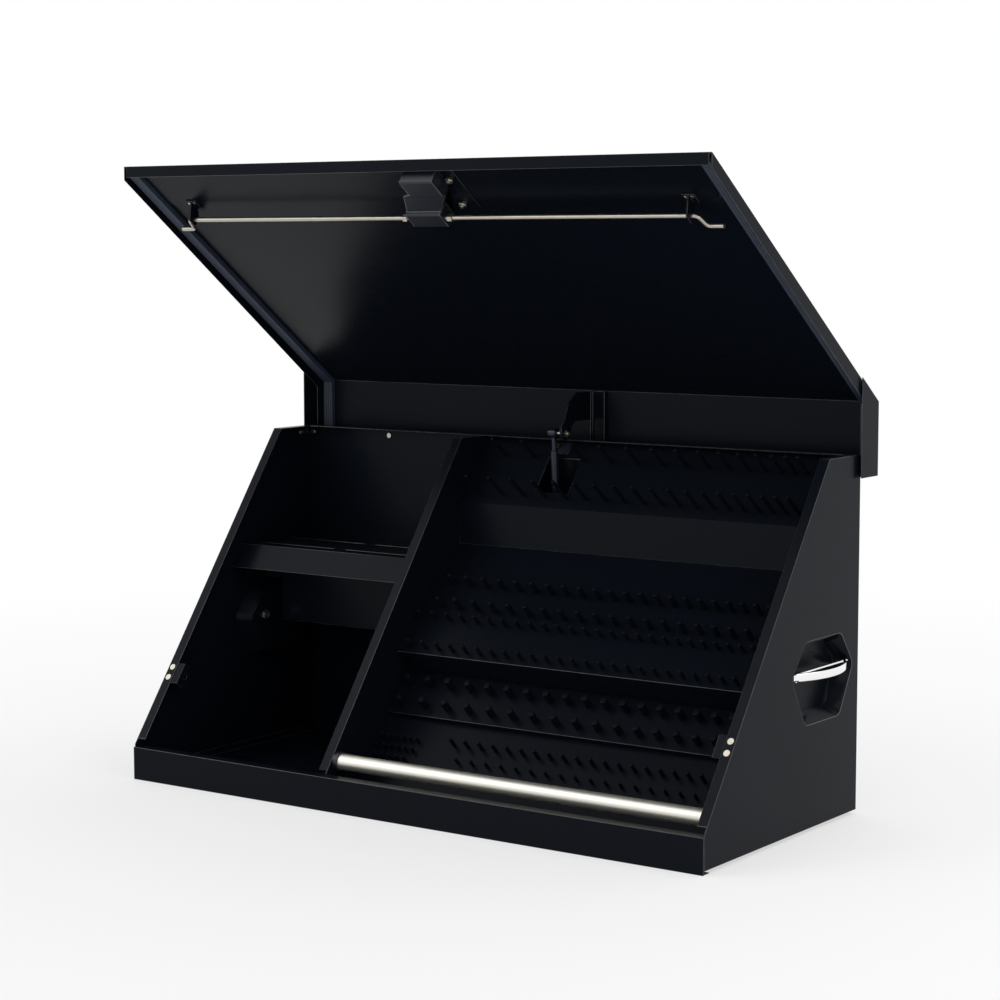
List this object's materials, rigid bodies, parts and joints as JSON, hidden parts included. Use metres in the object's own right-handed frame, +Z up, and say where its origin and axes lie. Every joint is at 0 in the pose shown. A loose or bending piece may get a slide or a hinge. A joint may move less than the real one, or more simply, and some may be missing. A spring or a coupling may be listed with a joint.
{
  "type": "top tool chest",
  "caption": "Sloping-front sheet-steel top chest with a gas-strut lid, cam latch with side rods, shelf bay, stepped peg panels and recessed side handles.",
  "frame": {"origin": "middle of the base, on the face of the centre foot that rests on the floor", "axes": "+X to the right along the width, +Y to the rear, +Z up; the sloping front faces -Y"},
  "size_m": [1.08, 0.4882, 0.9607],
  "materials": {
    "black_paint": "glossy, fine texture",
    "black_rubber": "ribbed, matte",
    "black_plastic": "satin",
    "zinc_steel": "zinc plated",
    "bright_chrome": "polished",
    "satin_aluminium": "satin",
    "strut_black": "glossy"
  },
  "bodies": {
    "case": {"base_pan": "black_paint", "front_lip": "black_paint", "back_panel": "black_paint", "left_side_wall": "black_paint", "right_side_wall": "black_paint", "rubber_feet": "black_rubber", "divider": "black_paint", "screwdriver_shelf": "black_paint", "shelf_back_sheet": "black_paint", "wrench_panel": "black_paint", "socket_panel_upper": "black_paint", "socket_panel_middle": "black_paint", "socket_panel_lower": "black_paint", "wrench_pegs": "zinc_steel", "socket_pegs_upper": "black_plastic", "socket_pegs_middle": "black_plastic", "socket_pegs_lower": "black_plastic", "boss_plate": "black_paint", "retaining_tube": "satin_aluminium", "tube_cups": "black_paint", "left_latch_striker": "black_paint", "right_latch_striker": "black_paint", "striker_bolts": "zinc_steel", "left_handle_dish": "black_paint", "right_handle_dish": "black_paint", "left_side_handle": "bright_chrome", "right_side_handle": "bright_chrome", "handle_nuts": "zinc_steel", "wall_rivets": "zinc_steel", "hinge_body_leaf": "black_paint", "hinge_pin": "zinc_steel", "strut_lower_bracket": "black_paint"},
    "lid": {"lid_shell": "black_paint", "lid_left_cheek": "black_paint", "lid_right_cheek": "black_paint", "lid_front_stiffener": "black_paint", "lid_seal_left": "black_rubber", "lid_seal_right": "black_rubber", "lid_seal_rear": "black_rubber", "hinge_lid_leaf": "black_paint", "strut_arm": "black_paint", "strut_arm_channel": "black_paint", "strut_upper_ball_stud": "zinc_steel", "latch_base_plate": "black_paint", "latch_cover": "black_paint", "latch_nuts": "zinc_steel", "left_rod_guide": "black_paint", "right_rod_guide": "black_paint", "guide_rivets": "zinc_steel", "latch_escutcheon": "bright_chrome"},
    "handle": {"latch_handle": "bright_chrome", "latch_cam": "zinc_steel"},
    "lock": {"lock_cylinder": "bright_chrome"},
    "rod_left": {"left_latch_rod": "zinc_steel", "left_rod_nut": "zinc_steel"},
    "rod_right": {"right_latch_rod": "zinc_steel", "right_rod_nut": "zinc_steel"},
    "strut_tube": {"strut_cylinder": "strut_black"},
    "strut_piston": {"strut_rod": "zinc_steel"}
  },
  "joints": [
    {"name": "lid_hinge", "type": "hinge", "parent": "case", "child": "lid", "pos_m": [0, 0.2265, 0.5055], "axis": [1, 0, 0], "range_deg": [0, 90]},
    {"name": "strut_tilt", "type": "hinge", "parent": "lid", "child": "strut_tube", "pos_m": [0.003, 0.187, 0.546], "axis": [1, 0, 0], "range_deg": [-90, 0]},
    {"name": "strut_slide", "type": "slide", "parent": "strut_tube", "child": "strut_piston", "axis": [0, 0.0708, -0.9975], "range_m": [-0.08, 0]},
    {"name": "latch_turn", "type": "hinge", "parent": "lid", "child": "handle", "pos_m": [0.007, -0.13106, 0.89715], "axis": [0, -0.5857, -0.8105], "range_deg": [0, 90]},
    {"name": "lock_turn", "type": "hinge", "parent": "handle", "child": "lock", "pos_m": [0.007, -0.13106, 0.89715], "axis": [0, -0.5857, -0.8105], "range_deg": [0, 90]},
    {"name": "left_rod_slide", "type": "slide", "parent": "lid", "child": "rod_left", "axis": [-1, 0, 0], "range_m": [0, 0.0114]},
    {"name": "right_rod_slide", "type": "slide", "parent": "lid", "child": "rod_right", "axis": [1, 0, 0], "range_m": [0, 0.0114]}
  ],
  "couplings": [
    {"joint": "strut_tilt", "follows": "lid_hinge", "ratio": -0.98047},
    {"joint": "strut_slide", "follows": "lid_hinge", "m_per_rad": -0.050692},
    {"joint": "left_rod_slide", "follows": "latch_turn", "m_per_rad": 0.0072025},
    {"joint": "right_rod_slide", "follows": "latch_turn", "m_per_rad": 0.0072025}
  ]
}
